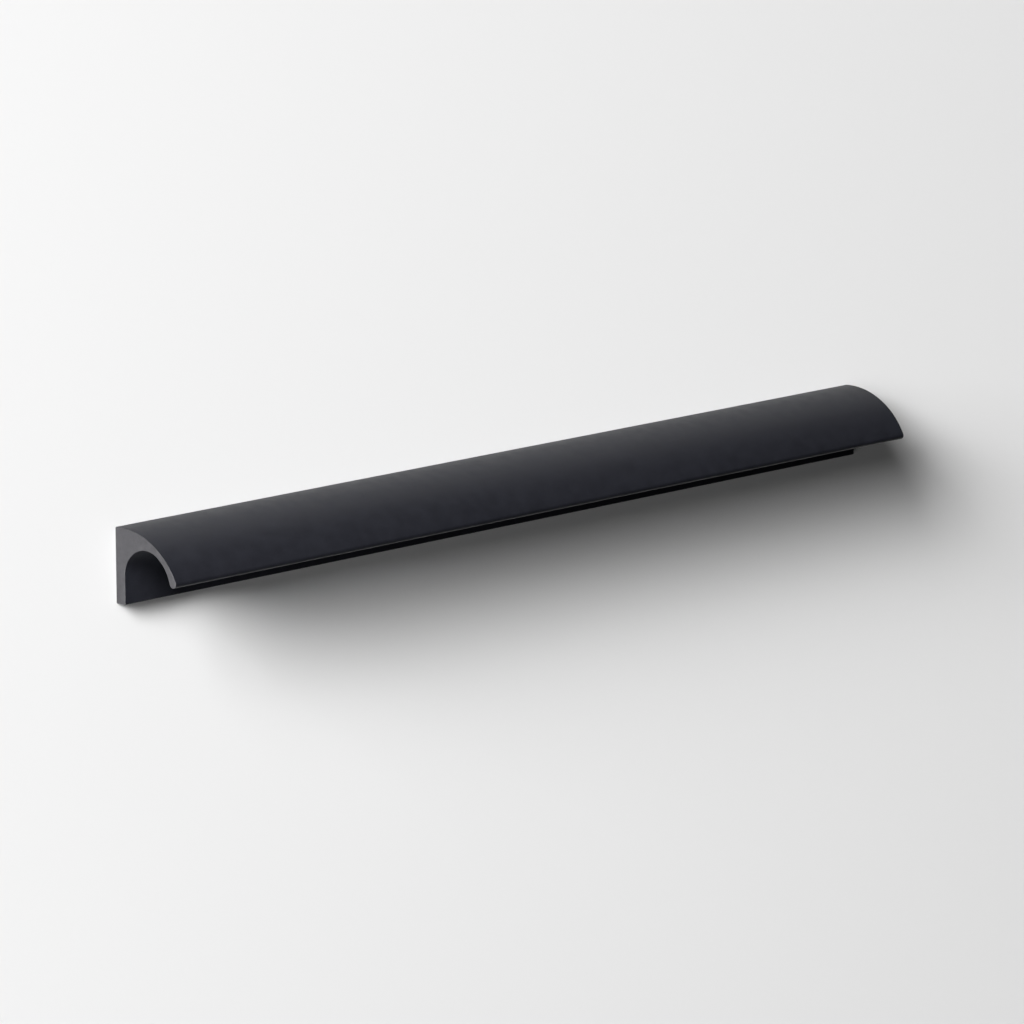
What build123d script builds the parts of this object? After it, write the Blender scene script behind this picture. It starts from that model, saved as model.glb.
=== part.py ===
from build123d import *
from math import cos, sin, radians, sqrt, tan, hypot
import os

# Cabinet pull: one length of extruded aluminium, fixed from behind.
#
# Frame: +X along the pull, +Y into the cabinet front, +Z up. The origin is on
# the flat back face, halfway between the two screw holes and at their height.
#
# The section is drawn by depth, measured outwards from the back face, and by
# height, measured up from the bottom edge of the back plate.

# Overall size, in millimetres
LENGTH = 300.0  # cut length
PLATE_THICKNESS = 3.2  # back plate, below the hollow

# Convex outer face: one arc from the top of the back face down to the lip
OUTER_RADIUS = 22.2
OUTER_CENTRE = (1.55, -2.0)  # depth, height: the crest is 20.2 high

# Finger hollow: a tight arch over the plate, then a larger arc inside the lip
ARCH_RADIUS = 7.4
ARCH_CENTRE_HEIGHT = 7.6  # the plate's front is straight below this height
ARCH_TURN = 55.0  # degrees above horizontal where the larger arc takes over
LIP_INNER_RADIUS = 11.0

# Lip: a full round as thick as the wall there
LIP_EDGE_RADIUS = 1.14

# Small rounds left by the extrusion die, and the deburred cut ends
BACK_CORNER_RADIUS = 0.4
PLATE_TOE_RADIUS = 0.25
END_EDGE_RADIUS = 0.1

# Two blind tapped holes for machine screws, M4 x 0.7, tapping drill 3.3
SCREW_SPACING = 256.0
SCREW_HEIGHT = 16.8  # above the bottom edge, in the thick rib over the hollow
TAP_HOLE_RADIUS = 1.65
TAP_HOLE_DEPTH = 7.0
TAP_MOUTH_RADIUS = 2.1
DRILL_POINT_ANGLE = 118.0


def at(depth, height):
    """A point of the section, in the sketch plane's own coordinates."""
    return (-depth, height - SCREW_HEIGHT)


def on_circle(centre, radius, angle):
    return (centre[0] + radius * cos(radians(angle)), centre[1] + radius * sin(radians(angle)))


# Where the arcs meet. Each pair is tangent, so the faces run smoothly together.
arch_centre = (PLATE_THICKNESS + ARCH_RADIUS, ARCH_CENTRE_HEIGHT)
arch_end = on_circle(arch_centre, ARCH_RADIUS, ARCH_TURN)
lip_centre = on_circle(arch_centre, ARCH_RADIUS - LIP_INNER_RADIUS, ARCH_TURN)

# The lip's edge touches the outer arc from inside and the hollow's arc from outside
to_outer = OUTER_RADIUS - LIP_EDGE_RADIUS
to_lip = LIP_INNER_RADIUS + LIP_EDGE_RADIUS
span = hypot(lip_centre[0] - OUTER_CENTRE[0], lip_centre[1] - OUTER_CENTRE[1])
ux, uy = (lip_centre[0] - OUTER_CENTRE[0]) / span, (lip_centre[1] - OUTER_CENTRE[1]) / span
along = (to_outer**2 - to_lip**2 + span**2) / (2 * span)
across = sqrt(to_outer**2 - along**2)
edge_centre = (
    OUTER_CENTRE[0] + along * ux + across * uy,
    OUTER_CENTRE[1] + along * uy - across * ux,
)


def in_line_with_edge(centre, radius):
    """The point on a circle in line with the lip edge's centre."""
    dx, dy = edge_centre[0] - centre[0], edge_centre[1] - centre[1]
    reach = hypot(dx, dy)
    return (centre[0] + radius * dx / reach, centre[1] + radius * dy / reach)


edge_outer = in_line_with_edge(OUTER_CENTRE, OUTER_RADIUS)
edge_inner = in_line_with_edge(lip_centre, LIP_INNER_RADIUS)
edge_low = (edge_centre[0], edge_centre[1] - LIP_EDGE_RADIUS)

back_top = (0.0, OUTER_CENTRE[1] + sqrt(OUTER_RADIUS**2 - OUTER_CENTRE[0] ** 2))
outer_mid = on_circle(OUTER_CENTRE, OUTER_RADIUS, 60.0)
lip_mid = on_circle(lip_centre, LIP_INNER_RADIUS, 36.0)
arch_mid = on_circle(arch_centre, ARCH_RADIUS, 117.0)
arch_start = (PLATE_THICKNESS, ARCH_CENTRE_HEIGHT)

os.makedirs("parts", exist_ok=True)

with BuildPart() as pull_profile:
    # The extruded section
    with BuildSketch(Plane.YZ) as section:
        with BuildLine() as outline:
            Line(at(0, 0), at(*back_top))
            ThreePointArc(at(*back_top), at(*outer_mid), at(*edge_outer))
            ThreePointArc(at(*edge_outer), at(*edge_low), at(*edge_inner))
            ThreePointArc(at(*edge_inner), at(*lip_mid), at(*arch_end))
            ThreePointArc(at(*arch_end), at(*arch_mid), at(*arch_start))
            Line(at(*arch_start), at(PLATE_THICKNESS, 0))
            Line(at(PLATE_THICKNESS, 0), at(0, 0))
        make_face()
        # Both corners of the back face, then the plate's front bottom edge
        fillet(section.vertices().group_by(Axis.X)[-1], radius=BACK_CORNER_RADIUS)
        toe = section.vertices().sort_by_distance((*at(PLATE_THICKNESS, 0), 0))[0]
        fillet(toe, radius=PLATE_TOE_RADIUS)
    extrude(amount=LENGTH / 2, both=True)

    # The cut ends are deburred all round
    ends = pull_profile.faces().filter_by(Axis.X)
    fillet(ends.edges(), radius=END_EDGE_RADIUS)

    # Tapped holes from the back face into the rib, with a countersunk mouth
    # and a drill point at the bottom
    back_face = Plane(origin=(0, 0, 0), x_dir=(1, 0, 0), z_dir=(0, 1, 0))
    with Locations(back_face):
        with GridLocations(SCREW_SPACING, 1, 2, 1):
            CounterSinkHole(
                radius=TAP_HOLE_RADIUS,
                counter_sink_radius=TAP_MOUTH_RADIUS,
                depth=TAP_HOLE_DEPTH,
                counter_sink_angle=90,
            )
    with Locations(back_face.offset(-TAP_HOLE_DEPTH)):
        with GridLocations(SCREW_SPACING, 1, 2, 1):
            Cone(
                bottom_radius=0,
                top_radius=TAP_HOLE_RADIUS,
                height=TAP_HOLE_RADIUS / tan(radians(DRILL_POINT_ANGLE / 2)),
                align=(Align.CENTER, Align.CENTER, Align.MAX),
                mode=Mode.SUBTRACT,
            )

pull_profile.part.label = "pull_profile"
export_step(pull_profile.part, "parts/pull_profile.step")

# The sizes that the report quotes
box = pull_profile.part.bounding_box()
print("box min", box.min, "max", box.max)
print("size", box.size, "volume mm3", round(pull_profile.part.volume, 1))
print("lip edge centre, depth and height", [round(v, 3) for v in edge_centre])
print("thinnest wall of the lip", round(OUTER_RADIUS - span - LIP_INNER_RADIUS, 3))
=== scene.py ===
"""A cabinet pull: one length of extruded aluminium, matte black, on a plain pale wall."""

import math

import bpy
from mathutils import Matrix, Vector
from mathutils.geometry import delaunay_2d_cdt


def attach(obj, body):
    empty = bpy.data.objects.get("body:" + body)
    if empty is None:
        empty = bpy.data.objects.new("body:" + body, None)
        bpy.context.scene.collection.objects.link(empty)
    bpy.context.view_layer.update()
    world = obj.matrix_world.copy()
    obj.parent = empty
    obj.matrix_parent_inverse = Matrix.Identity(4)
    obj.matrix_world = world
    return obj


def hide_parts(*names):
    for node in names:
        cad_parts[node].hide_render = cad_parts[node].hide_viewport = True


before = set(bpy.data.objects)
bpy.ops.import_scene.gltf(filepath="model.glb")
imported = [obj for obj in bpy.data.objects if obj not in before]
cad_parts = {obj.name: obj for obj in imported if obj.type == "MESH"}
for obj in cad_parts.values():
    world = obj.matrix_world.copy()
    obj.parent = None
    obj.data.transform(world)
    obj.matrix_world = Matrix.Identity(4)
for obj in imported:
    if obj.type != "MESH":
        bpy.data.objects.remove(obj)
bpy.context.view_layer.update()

MM = 0.001

# ---------------------------------------------------------------- dimensions
# All in millimetres, by depth in front of the back face and height above the
# bottom edge, as in the CAD model.
LENGTH = 300.0
PLATE = 3.2
OUTER_R, OUTER_C = 22.2, (1.55, -2.0)
ARCH_R, ARCH_H, ARCH_TURN = 7.4, 7.6, 55.0
LIP_R = 11.0
EDGE_R = 1.14
BACK_R = 0.4
TOE_R = 0.25
END_R = 0.1
SCREW_H = 16.8
HOLES = (-128.0, 128.0)
MOUTH_R, BORE_R, ROOT_R = 2.1, 1.65, 2.0
BORE_DEPTH, PITCH = 7.0, 0.7
THREAD_END = 6.1


def polar(c, r, a):
    return (c[0] + r * math.cos(math.radians(a)), c[1] + r * math.sin(math.radians(a)))


def heading(c, p):
    return math.degrees(math.atan2(p[1] - c[1], p[0] - c[0]))


# ---------------------------------------------------------------- the section
arch_c = (PLATE + ARCH_R, ARCH_H)
lip_c = polar(arch_c, ARCH_R - LIP_R, ARCH_TURN)
span = math.hypot(lip_c[0] - OUTER_C[0], lip_c[1] - OUTER_C[1])
ux, uy = (lip_c[0] - OUTER_C[0]) / span, (lip_c[1] - OUTER_C[1]) / span
far, near = OUTER_R - EDGE_R, LIP_R + EDGE_R
along = (far**2 - near**2 + span**2) / (2 * span)
across = math.sqrt(far**2 - along**2)
edge_c = (
    OUTER_C[0] + along * ux + across * uy,
    OUTER_C[1] + along * uy - across * ux,
)
top_c = (BACK_R, OUTER_C[1] + math.sqrt((OUTER_R - BACK_R) ** 2 - (BACK_R - OUTER_C[0]) ** 2))

loop = []  # depth, height, outward normal, and the run along the outline


def add(p, n):
    run = loop[-1][2] + math.dist(p, loop[-1][0]) if loop else 0.0
    loop.append((p, n, run))


def arc(c, r, a, b, steps, sign=1):
    """An arc from a to b degrees. Its first point is the last one's, so it is left out."""
    for i in range(1, steps + 1):
        t = a + (b - a) * i / steps
        d = (math.cos(math.radians(t)), math.sin(math.radians(t)))
        add((c[0] + r * d[0], c[1] + r * d[1]), (sign * d[0], sign * d[1]))


def line(p, q, n, steps):
    for i in range(1, steps + 1):
        add((p[0] + (q[0] - p[0]) * i / steps, p[1] + (q[1] - p[1]) * i / steps), n)


add((0.0, BACK_R), (-1.0, 0.0))
BACK_FROM = len(loop) - 1
line((0.0, BACK_R), (0.0, top_c[1]), (-1.0, 0.0), 1)
crest = heading(OUTER_C, top_c)
arc(top_c, BACK_R, 180.0, crest, 8)
OUTER_FROM = len(loop) - 1
edge_turn = heading(OUTER_C, edge_c)
arc(OUTER_C, OUTER_R, crest, edge_turn, 72)
inner_turn = heading(lip_c, edge_c)
arc(edge_c, EDGE_R, edge_turn, inner_turn - 180.0, 26)
arc(lip_c, LIP_R, inner_turn, ARCH_TURN, 26, -1)
arc(arch_c, ARCH_R, ARCH_TURN, 180.0, 48, -1)
line((PLATE, ARCH_H), (PLATE, TOE_R), (1.0, 0.0), 4)
arc((PLATE - TOE_R, TOE_R), TOE_R, 0.0, -90.0, 6)
line((PLATE - TOE_R, 0.0), (BACK_R, 0.0), (0.0, -1.0), 2)
arc((BACK_R, BACK_R), BACK_R, -90.0, -180.0, 8)
girth = loop[-1][2]
loop.pop()  # the last point is the first one again
COUNT = len(loop)

# ------------------------------------------------------------------ stations
HALF = LENGTH / 2
stations = []  # x, how far the section shrinks, how far the normal leans to +X, run
ROUND_STEPS = 6
for i in range(ROUND_STEPS + 1):
    a = math.radians(90.0 * (1 - i / ROUND_STEPS))
    stations.append((-(HALF - END_R + END_R * math.sin(a)), END_R * (1 - math.cos(a)), -a))
inner = [0.6, 1.4, 2.6, 4.4, 7.0, 10.5, 15.0, 20.5, 27.0]
inner += [27.0 + (HALF - 27.0) * i / 16 for i in range(1, 17)]
for d in inner:
    stations.append((-(HALF - d), 0.0, 0.0))
for x, s, a in reversed(stations[:-1]):
    stations.append((-x, s, -a))
LAST = len(stations) - 1
runs = [0.0]
for i in range(1, len(stations)):
    p, q = stations[i - 1], stations[i]
    runs.append(runs[-1] + math.hypot(q[0] - p[0], q[1] - p[1]))
MIDDLE = (len(stations) - 1) // 2
runs = [r - runs[MIDDLE] for r in runs]

# ---------------------------------------------------------------- the mesh
# Faces carry their own corner normals and map coordinates.
verts, faces, corners, finish = [], [], [], []
BODY, CUT, BORE = 0, 1, 2
SIDE = 180.0  # millimetres that the whole map is wide and high
PAD = 1.6


def place(x, d, h):
    return (x * MM, -d * MM, (h - SCREW_H) * MM)


def add_face(ids, normals, uvs, mat):
    faces.append(ids)
    corners.extend(zip(normals, uvs))
    finish.append(mat)


def skin_normal(j, a):
    n = loop[j % COUNT][1]
    return (math.sin(a), -math.cos(a) * n[0], math.cos(a) * n[1])


def strip_uv(i, run, left):
    """The skin is unrolled and cut in two at mid-length, one half above the other."""
    u = PAD + (runs[i] - runs[0] if left else runs[i])
    v = PAD + run + (0.0 if left else girth + PAD)
    return (u / SIDE, v / SIDE)


for i, (x, s, a) in enumerate(stations):
    for p, n, run in loop:
        verts.append(place(x, p[0] - s * n[0], p[1] - s * n[1]))


def vid(i, j):
    return i * COUNT + j % COUNT


for i in range(LAST):
    left = i < MIDDLE
    flat = stations[i][1] == 0.0 and stations[i + 1][1] == 0.0
    for j in range(COUNT):
        if j == BACK_FROM and flat:
            continue  # the back face is made below, round its holes
        r0 = loop[j][2]
        r1 = loop[j + 1][2] if j + 1 < COUNT else girth
        a0, a1 = stations[i][2], stations[i + 1][2]
        # Round edges leaning past 46 degrees take the paler cut-end colour, which is partly painted light.
        add_face(
            (vid(i, j), vid(i, j + 1), vid(i + 1, j + 1), vid(i + 1, j)),
            (skin_normal(j, a0), skin_normal(j + 1, a0), skin_normal(j + 1, a1), skin_normal(j, a1)),
            (strip_uv(i, r0, left), strip_uv(i, r1, left), strip_uv(i + 1, r1, left), strip_uv(i + 1, r0, left)),
            CUT if max(abs(a0), abs(a1)) > math.radians(46) else BODY,
        )

# The two cut ends
for i, side in ((0, -1.0), (LAST, 1.0)):
    ring = [vid(i, j) for j in range(COUNT)]
    flat_pts = [Vector((verts[v][1] / MM, verts[v][2] / MM)) for v in ring]
    out = delaunay_2d_cdt(flat_pts, [], [list(range(COUNT))], 1, 1e-6)
    if len(out[0]) != COUNT:
        raise RuntimeError("the end face gained or lost a vertex")
    back_to = [0] * COUNT
    for new, old in enumerate(out[3]):
        back_to[new] = old[0]
    for tri in out[2]:
        ids = [back_to[k] for k in tri]
        p, q, r = (flat_pts[k] for k in ids)
        turn = (q - p).cross(r - p)
        if (turn > 0) != (side > 0):
            ids.reverse()
        uvs = []
        for k in ids:
            y, z = flat_pts[k]
            u = PAD + (HALF + 2 * PAD) - y
            v = PAD + (z + SCREW_H) + (0.0 if side < 0 else 23.0)
            uvs.append((u / SIDE, v / SIDE))
        add_face(tuple(ring[k] for k in ids), [(side, 0.0, 0.0)] * 3, uvs, CUT)

# The flat back, with a mouth for each tapped hole
AROUND = 56
outline, outline_ids = [], []
first_flat = ROUND_STEPS
last_flat = LAST - ROUND_STEPS
low_j, high_j = BACK_FROM, BACK_FROM + 1
for i in range(first_flat, last_flat + 1):
    outline_ids.append(vid(i, low_j))
for i in range(last_flat, first_flat - 1, -1):
    outline_ids.append(vid(i, high_j))
points = [Vector((verts[v][0] / MM, verts[v][2] / MM)) for v in outline_ids]
back_ids = list(outline_ids)
edges = [(k, (k + 1) % len(points)) for k in range(len(points))]
mouths = []
for hx in HOLES:
    start = len(points)
    ring = []
    for k in range(AROUND):
        t = 2 * math.pi * k / AROUND
        verts.append((hx * MM + MOUTH_R * MM * math.cos(t), 0.0, MOUTH_R * MM * math.sin(t)))
        ring.append(len(verts) - 1)
        back_ids.append(len(verts) - 1)
        points.append(Vector((hx + MOUTH_R * math.cos(t), MOUTH_R * math.sin(t))))
        edges.append((start + k, start + (k + 1) % AROUND))
    mouths.append(ring)
# A few points on the face itself keep its triangles in shape round the holes
for hx in HOLES:
    for reach, number in ((3.1, 28), (5.0, 16)):
        for k in range(number):
            t = 2 * math.pi * (k + 0.5) / number
            x, z = hx + reach * math.cos(t), reach * math.sin(t)
            if -15.4 < z < 2.2:
                verts.append((x * MM, 0.0, z * MM))
                back_ids.append(len(verts) - 1)
                points.append(Vector((x, z)))
# and the map is cut at mid-length, so an edge runs there
middle_low = outline_ids.index(vid(MIDDLE, low_j))
middle_high = outline_ids.index(vid(MIDDLE, high_j))
edges.append((middle_low, middle_high))
out = delaunay_2d_cdt(points, edges, [], 1, 1e-6)
if len(out[0]) != len(points):
    raise RuntimeError("the back face gained or lost a vertex")
back_to = [0] * len(points)
for new, old in enumerate(out[3]):
    back_to[new] = old[0]
z_low = points[0][1]
for tri in out[2]:
    ids = [back_to[k] for k in tri]
    p, q, r = (points[k] for k in ids)
    mid = (p + q + r) / 3
    if any((mid - Vector((hx, 0.0))).length < MOUTH_R for hx in HOLES):
        continue
    if (q - p).cross(r - p) > 0:  # the face looks along +Y, so it turns the other way in x and z
        ids.reverse()
    left = mid[0] < 0
    uvs = []
    for k in ids:
        x, z = points[k]
        u = PAD + (x - runs[0] if left else x)
        v = PAD + (z - z_low) + (0.0 if left else girth + PAD)
        uvs.append((u / SIDE, v / SIDE))
    add_face(tuple(back_ids[k] for k in ids), [(0.0, 1.0, 0.0)] * 3, uvs, BODY)


# The tapped holes: a countersunk mouth, a thread cut on a 3.3 mm bore, a drill point
def thread(turns):
    """How far the thread is cut at this part of a turn: 1 at its root, 0 at its crest."""
    t = turns % 1.0
    flat_root, flank = 0.0625, 0.29
    d = min(t, 1.0 - t)
    if d < flat_root:
        return 1.0
    if d < flat_root + flank:
        return 1.0 - (d - flat_root) / flank
    return 0.0


RINGS = 118
bore_faces = []
for h, (hx, mouth) in enumerate(zip(HOLES, mouths)):
    rows = [mouth]
    depths = [0.0] + [BORE_DEPTH * i / RINGS for i in range(1, RINGS + 1)]
    for s in depths[1:]:
        row = []
        for k in range(AROUND):
            t = k / AROUND
            run_out = min(1.0, max(0.0, (THREAD_END - s) / 0.5))
            r = BORE_R + (ROOT_R - BORE_R) * thread(s / PITCH - t + 0.2) * run_out
            r = max(r, MOUTH_R - s)
            verts.append(
                (
                    (hx + r * math.cos(2 * math.pi * t)) * MM,
                    -s * MM,
                    r * math.sin(2 * math.pi * t) * MM,
                )
            )
            row.append(len(verts) - 1)
        rows.append(row)
    # the drill point
    point_depth = BORE_R / math.tan(math.radians(59.0))
    for f in (0.34, 0.67):
        row = []
        for k in range(AROUND):
            t = 2 * math.pi * k / AROUND
            r = BORE_R * (1 - f)
            verts.append(((hx + r * math.cos(t)) * MM, -(BORE_DEPTH + point_depth * f) * MM, r * math.sin(t) * MM))
            row.append(len(verts) - 1)
        rows.append(row)
        depths.append(BORE_DEPTH + point_depth * f)
    verts.append((hx * MM, -(BORE_DEPTH + point_depth) * MM, 0.0))
    tip = len(verts) - 1
    u0 = PAD + (HALF + 2 * PAD)
    v0 = PAD + 47.0 + h * 22.0

    def bore_uv(k, n):
        s = depths[n] if n < len(depths) else BORE_DEPTH + point_depth
        return ((u0 + 21.0 * k / AROUND) / SIDE, (v0 + 2.4 * s) / SIDE)

    for n in range(len(rows) - 1):
        for k in range(AROUND):
            k2 = (k + 1) % AROUND
            # seen from inside the hole
            bore_faces.append(
                (
                    len(faces),
                    (rows[n][k], rows[n + 1][k], rows[n + 1][k2], rows[n][k2]),
                    (bore_uv(k, n), bore_uv(k, n + 1), bore_uv(k + 1, n + 1), bore_uv(k + 1, n)),
                )
            )
            add_face(bore_faces[-1][1], [None] * 4, bore_faces[-1][2], BORE)
    for k in range(AROUND):
        k2 = (k + 1) % AROUND
        ids = (rows[-1][k], tip, rows[-1][k2])
        uvs = (bore_uv(k, len(rows) - 1), bore_uv(k + 0.5, len(rows)), bore_uv(k + 1, len(rows) - 1))
        bore_faces.append((len(faces), ids, uvs))
        add_face(ids, [None] * 3, uvs, BORE)

# Normals inside the holes: smooth, but for the corners of the thread
face_normals, round_vertex = {}, {}
for index, ids, _ in bore_faces:
    a, b, c = (Vector(verts[v]) for v in ids[:3])
    d = Vector(verts[ids[3]]) if len(ids) == 4 else c
    face_normals[index] = (c - a).cross(d - b) if len(ids) == 4 else (b - a).cross(c - a)
    for v in ids:
        round_vertex.setdefault(v, []).append(index)
cursor = 0
for index, ids in enumerate(faces):
    if index in face_normals:
        own = face_normals[index].normalized()
        for c, v in enumerate(ids):
            n = Vector((0.0, 0.0, 0.0))
            for other in round_vertex[v]:
                if face_normals[other].normalized().dot(own) > 0.8:
                    n += face_normals[other]
            corners[cursor + c] = (tuple(n.normalized()), corners[cursor + c][1])
    cursor += len(ids)

me = bpy.data.meshes.new("pull")
me.from_pydata(verts, [], faces)
uv_layer = me.uv_layers.new(name="OFBake")
for n, (_, uv) in enumerate(corners):
    uv_layer.data[n].uv = uv
for poly, m in zip(me.polygons, finish):
    poly.material_index = m
    poly.use_smooth = True
me.validate(clean_customdata=False)
me.update()
me.normals_split_custom_set([n for n, _ in corners])
pull = bpy.data.objects.new("pull", me)
bpy.context.scene.collection.objects.link(pull)


# ---------------------------------------------------------------- materials
def new_material(name):
    mat = bpy.data.materials.new(name)
    mat.use_nodes = True
    mat.node_tree.nodes.clear()
    return mat, mat.node_tree


def node(tree, kind, **values):
    n = tree.nodes.new(kind)
    for key, value in values.items():
        setattr(n, key, value)
    return n


def black_finish(name, dark, light, rough, gleam, grain, patches, bump, brushed=0.0):
    """A dyed, blasted aluminium surface: a fine grain in its colour, gloss and relief."""
    mat, tree = new_material(name)
    link = tree.links.new
    out = node(tree, "ShaderNodeOutputMaterial")
    bsdf = node(tree, "ShaderNodeBsdfPrincipled")
    link(bsdf.outputs[0], out.inputs["Surface"])
    coords = node(tree, "ShaderNodeTexCoord")

    fine = node(tree, "ShaderNodeTexNoise")  # the blasted grain
    fine.inputs["Scale"].default_value = grain
    fine.inputs["Detail"].default_value = 3.0
    fine.inputs["Roughness"].default_value = 0.62
    link(coords.outputs["Object"], fine.inputs["Vector"])

    cloud = node(tree, "ShaderNodeTexNoise")  # slower changes in the dye
    cloud.inputs["Scale"].default_value = patches
    cloud.inputs["Detail"].default_value = 4.0
    cloud.inputs["Roughness"].default_value = 0.55
    link(coords.outputs["Object"], cloud.inputs["Vector"])

    stretch = node(tree, "ShaderNodeMapping")  # faint die lines along the pull
    stretch.inputs["Scale"].default_value = (6.0, 1500.0, 1500.0)
    link(coords.outputs["Object"], stretch.inputs["Vector"])
    lines = node(tree, "ShaderNodeTexNoise")
    lines.inputs["Scale"].default_value = 1.0
    lines.inputs["Detail"].default_value = 2.0
    link(stretch.outputs["Vector"], lines.inputs["Vector"])

    shade = node(tree, "ShaderNodeMath", operation="MULTIPLY_ADD")
    link(cloud.outputs["Fac"], shade.inputs[0])
    shade.inputs[1].default_value = 0.55
    link(fine.outputs["Fac"], shade.inputs[2])
    ramp = node(tree, "ShaderNodeValToRGB")
    ramp.color_ramp.elements[0].position = 0.55
    ramp.color_ramp.elements[0].color = (*dark, 1.0)
    ramp.color_ramp.elements[1].position = 1.05
    ramp.color_ramp.elements[1].color = (*light, 1.0)
    link(shade.outputs[0], ramp.inputs["Fac"])
    link(ramp.outputs["Color"], bsdf.inputs["Base Color"])

    gloss = node(tree, "ShaderNodeMapRange")
    gloss.inputs["From Min"].default_value = 0.3
    gloss.inputs["From Max"].default_value = 0.7
    gloss.inputs["To Min"].default_value = rough - 0.035
    gloss.inputs["To Max"].default_value = rough + 0.035
    link(cloud.outputs["Fac"], gloss.inputs["Value"])
    link(gloss.outputs["Result"], bsdf.inputs["Roughness"])

    relief = node(tree, "ShaderNodeMath", operation="MULTIPLY_ADD")
    link(lines.outputs["Fac"], relief.inputs[0])
    relief.inputs[1].default_value = brushed
    link(fine.outputs["Fac"], relief.inputs[2])
    rise = node(tree, "ShaderNodeBump")
    rise.inputs["Strength"].default_value = bump
    rise.inputs["Distance"].default_value = 0.00004
    link(relief.outputs[0], rise.inputs["Height"])
    link(rise.outputs["Normal"], bsdf.inputs["Normal"])
    bsdf.inputs["IOR"].default_value = 1.5
    bsdf.inputs["Specular IOR Level"].default_value = gleam
    return mat


body_mat = black_finish("matte_black", (0.0067, 0.0070, 0.0093), (0.0121, 0.0127, 0.0166), 0.45, 0.14, 5200.0, 260.0, 0.36, 0.5)
# The cut ends and their round edges are paler than the skin: partly their coarser sawn and blasted grain, partly
# painted light, the colour raised to stand in for light falling on them.
cut_finish_and_painted_light_mat = black_finish("cut_end_finish_and_painted_light", (0.0050, 0.0046, 0.0058), (0.0292, 0.0286, 0.0318), 0.47, 0.47, 3600.0, 620.0, 0.70, 0.0)
bore_mat = black_finish("tapped_hole", (0.0140, 0.0140, 0.0155), (0.0240, 0.0240, 0.0265), 0.42, 0.40, 4200.0, 400.0, 0.2, 0.0)
for m in (body_mat, cut_finish_and_painted_light_mat, bore_mat):
    me.materials.append(m)

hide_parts("pull_profile")
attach(pull, "root")

# ---------------------------------------------------------------- the camera
right = Vector((0.661736, -0.749717, -0.005588))
up = Vector((0.135498, 0.112259, 0.984397))
forward = right.cross(-up).normalized()
right = forward.cross(up).normalized()
up = right.cross(forward).normalized()
cam_data = bpy.data.cameras.new("camera")
cam_data.sensor_fit = "HORIZONTAL"
cam_data.sensor_width = 36.0
cam_data.lens = 240.153
cam_data.clip_start, cam_data.clip_end = 0.05, 60.0
camera = bpy.data.objects.new("camera", cam_data)
turn = Matrix((right, up, -forward)).transposed().to_4x4()
camera.matrix_world = Matrix.Translation((-1.376885, -1.221254, 0.315321)) @ turn
bpy.context.scene.collection.objects.link(camera)
bpy.context.scene.camera = camera


# ---------------------------------------------------------------- the stage
def sheet_of(name, centre, across_v, up_v, half_w, half_h):
    """A flat rectangle. Its front looks along across x up."""
    a, b = Vector(across_v).normalized(), Vector(up_v).normalized()
    c = Vector(centre)
    pts = [c - a * half_w - b * half_h, c + a * half_w - b * half_h, c + a * half_w + b * half_h, c - a * half_w + b * half_h]
    mesh = bpy.data.meshes.new(name)
    mesh.from_pydata([tuple(p) for p in pts], [], [(0, 1, 2, 3)])
    ob = bpy.data.objects.new(name, mesh)
    bpy.context.scene.collection.objects.link(ob)
    return ob


def paint(name, colour, see_through_back=False):
    mat, tree = new_material(name)
    link = tree.links.new
    out = node(tree, "ShaderNodeOutputMaterial")
    bsdf = node(tree, "ShaderNodeBsdfPrincipled")
    bsdf.inputs["Base Color"].default_value = (*colour, 1.0)
    bsdf.inputs["Roughness"].default_value = 0.9
    bsdf.inputs["Specular IOR Level"].default_value = 0.0
    if not see_through_back:
        link(bsdf.outputs[0], out.inputs["Surface"])
        return mat
    # Clear from behind, and for what starts in the gap behind the pull, so that
    # the back of the pull can be seen and lit.
    clear = node(tree, "ShaderNodeBsdfTransparent")
    geometry = node(tree, "ShaderNodeNewGeometry")
    path = node(tree, "ShaderNodeLightPath")
    close = node(tree, "ShaderNodeMath", operation="LESS_THAN")
    close.inputs[1].default_value = 0.0005
    link(path.outputs["Ray Length"], close.inputs[0])
    either = node(tree, "ShaderNodeMath", operation="MAXIMUM")
    link(close.outputs[0], either.inputs[0])
    link(geometry.outputs["Backfacing"], either.inputs[1])
    mix = node(tree, "ShaderNodeMixShader")
    link(either.outputs[0], mix.inputs[0])
    link(bsdf.outputs[0], mix.inputs[1])
    link(clear.outputs[0], mix.inputs[2])
    link(mix.outputs[0], out.inputs["Surface"])
    return mat


WALL_Y = 0.0001
wall = sheet_of("wall", (0, WALL_Y, 0.55), (1, 0, 0), (0, 0, 1), 3.0, 2.15)
wall.data.materials.append(paint("wall_paint", (0.80, 0.80, 0.80), True))
floor = sheet_of("floor", (0, -2.0, -1.6), (1, 0, 0), (0, 1, 0), 6.0, 6.0)
floor.data.materials.append(paint("floor_paint", (0.45, 0.45, 0.45)))
for way in ("visible_diffuse", "visible_glossy", "visible_shadow"):
    setattr(floor, way, False)  # seen, but it throws no light back onto the wall

world = bpy.data.worlds.new("studio")
bpy.context.scene.world = world
world.use_nodes = True
world.node_tree.nodes["Background"].inputs["Color"].default_value = (1.0, 1.0, 1.0, 1.0)
world.node_tree.nodes["Background"].inputs["Strength"].default_value = 0.80
world.cycles_visibility.diffuse = False
world.cycles_visibility.glossy = False
world.cycles_visibility.transmission = False
world.cycles_visibility.scatter = False


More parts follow.
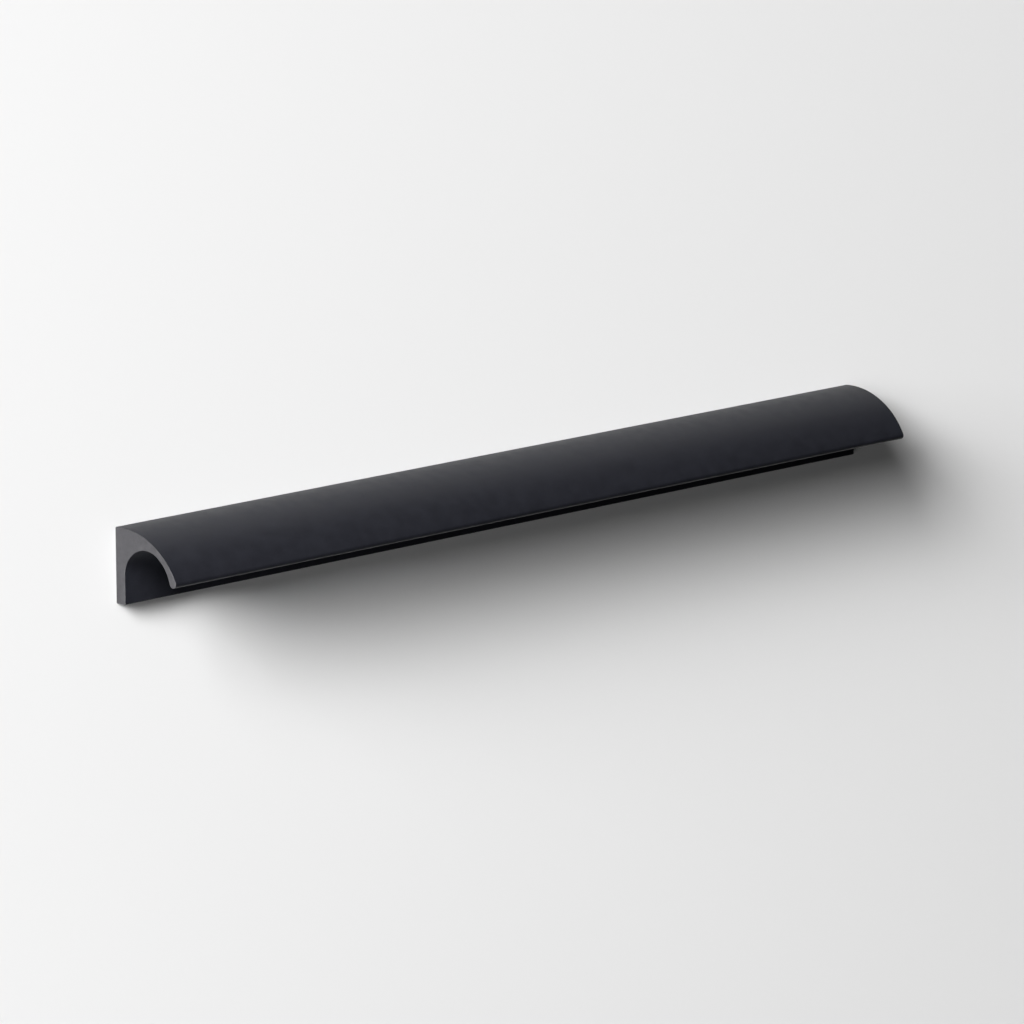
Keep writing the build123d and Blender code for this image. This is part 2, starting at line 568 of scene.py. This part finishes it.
def softbox(name, azimuth, elevation, distance, width, height, power, lights_up=None, shaded_by=None):
    """A large soft light. Azimuth 0 is straight in front of the wall and -90 to its left."""
    a, e = math.radians(azimuth), math.radians(elevation)
    way = Vector((math.sin(a) * math.cos(e), -math.cos(a) * math.cos(e), math.sin(e)))
    data = bpy.data.lights.new(name, "AREA")
    data.shape = "RECTANGLE"
    data.size, data.size_y = width, height
    data.energy = power
    ob = bpy.data.objects.new(name, data)
    ob.location = way * distance
    ob.rotation_mode = "QUATERNION"
    ob.rotation_quaternion = way.to_track_quat("Z", "Y")
    ob.visible_camera = False
    bpy.context.scene.collection.objects.link(ob)
    if lights_up:
        ob.light_linking.receiver_collection = lights_up
    if shaded_by:
        ob.light_linking.blocker_collection = shaded_by
    return ob


def group_of(name, *members):
    group = bpy.data.collections.new(name)
    for member in members:
        group.objects.link(member)
    return group


# A near key lights the pull, so that it grows darker along its length. It stands well in
# front, so that it leaves no glare when the pull is seen from its far end. Three tall
# softboxes further away and more to the side light the wall and cast the pull's shadow.
# Sizes and powers are for a light 1 m away.
the_pull = group_of("the_pull", pull)
the_stage = group_of("the_stage", wall, floor)
for name, azimuth, elevation, away, width, height, power, lights_up in (
    ("key", -58.0, 38.0, 1.5, 0.190, 0.450, 25.5, the_pull),
    ("hollow_fill", -50.0, 15.5, 1.9, 0.120, 0.080, 1.0, the_pull),
    ("key_far", -76.0, 25.5, 6.0, 0.183, 0.353, 16.5, the_stage),
    ("key_front_far", -66.0, 28.0, 6.0, 0.195, 0.569, 14.2, the_stage),
    ("key_side_far", -85.0, 17.0, 6.0, 0.172, 0.400, 15.0, the_stage),
):
    softbox(name, azimuth, elevation, away, width * away, height * away, power * away**2, lights_up)
softbox("low_front", -55.0, 0.0, 1.6, 0.33, 0.33, 3.6)
# beside the near end and below it, to light the hollow there from inside
softbox("hollow_side", -83.6, -9.9, 0.41, 0.06, 0.06, 1.6, the_pull)
# for the hidden end and the back, which the camera does not see
softbox("end_fill", 95.0, -6.0, 2.5, 0.4, 0.4, 38.0, the_pull, the_pull)
softbox("back_fill", 205.0, 30.0, 2.5, 2.0, 1.5, 200.0, the_pull)

scene = bpy.context.scene
scene.view_settings.view_transform = "Standard"
scene.view_settings.look = "None"
